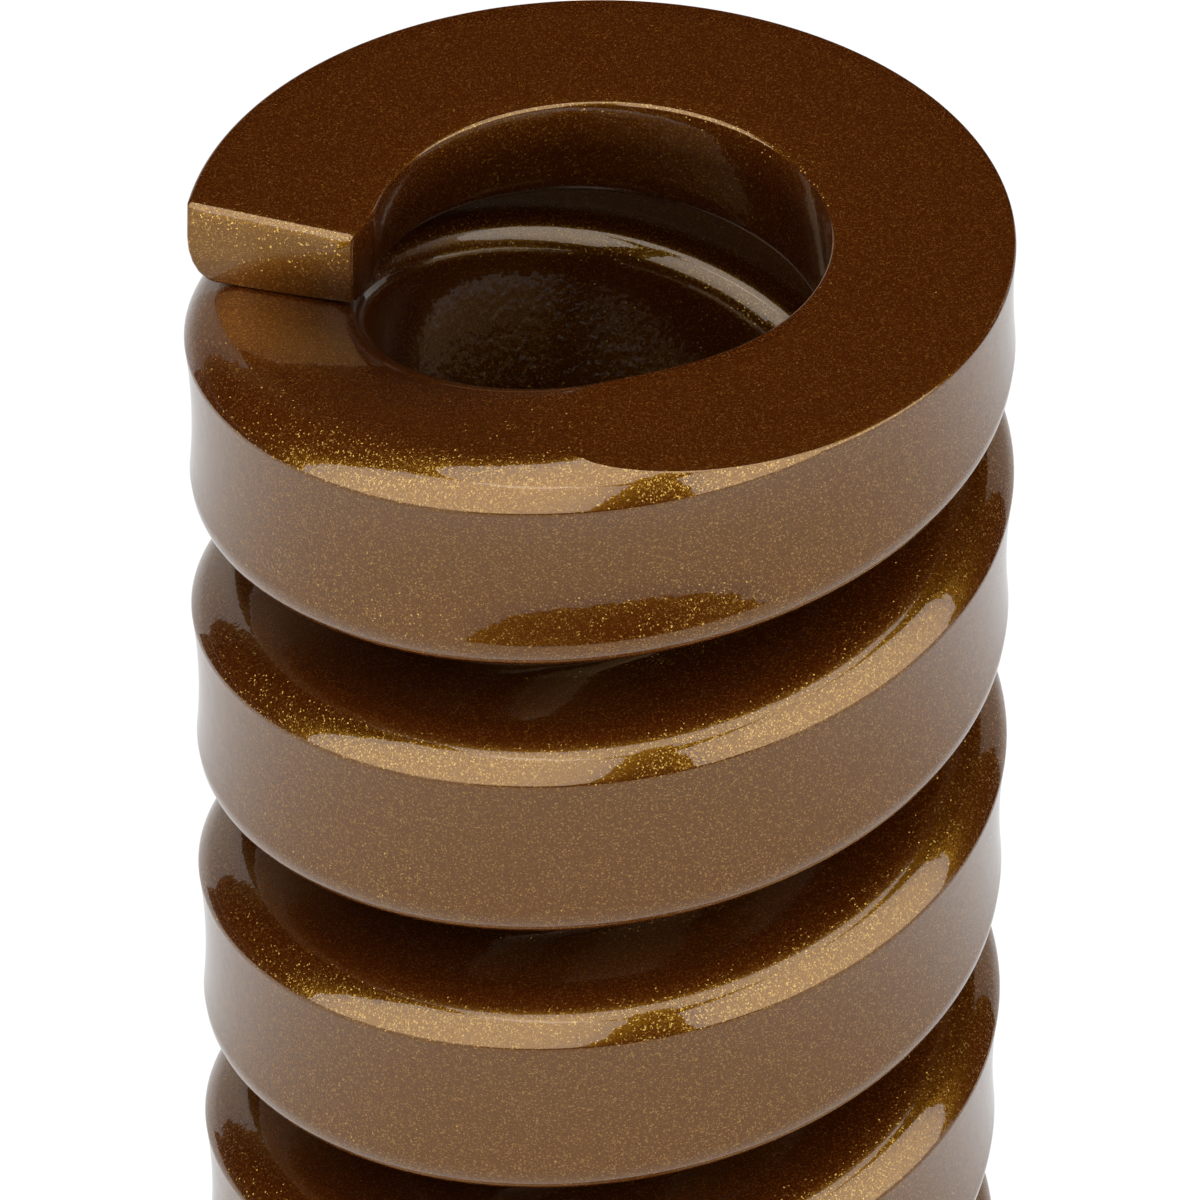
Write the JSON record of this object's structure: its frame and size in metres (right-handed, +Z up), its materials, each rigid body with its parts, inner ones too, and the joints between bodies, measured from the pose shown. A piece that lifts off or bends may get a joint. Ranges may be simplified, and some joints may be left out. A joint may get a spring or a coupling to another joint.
{
  "type": "die spring",
  "caption": "Heavy compression spring coiled from shaped flat wire, with closed ground ends and a clear bore for a guide rod, painted metallic brown.",
  "frame": {"origin": "middle of the lower ground face, where the spring stands", "axes": "+Z up the spring's axis, -Y the front; the upper tip of the wire is on the -X side and the wire climbs anticlockwise seen from above"},
  "size_m": [0.0378, 0.0378, 0.115],
  "materials": {
    "brown_paint": "gloss metallic brown paint with fine gold flake on spring steel"
  },
  "bodies": {
    "root": {"coil_spring": "brown_paint"}
  },
  "joints": []
}
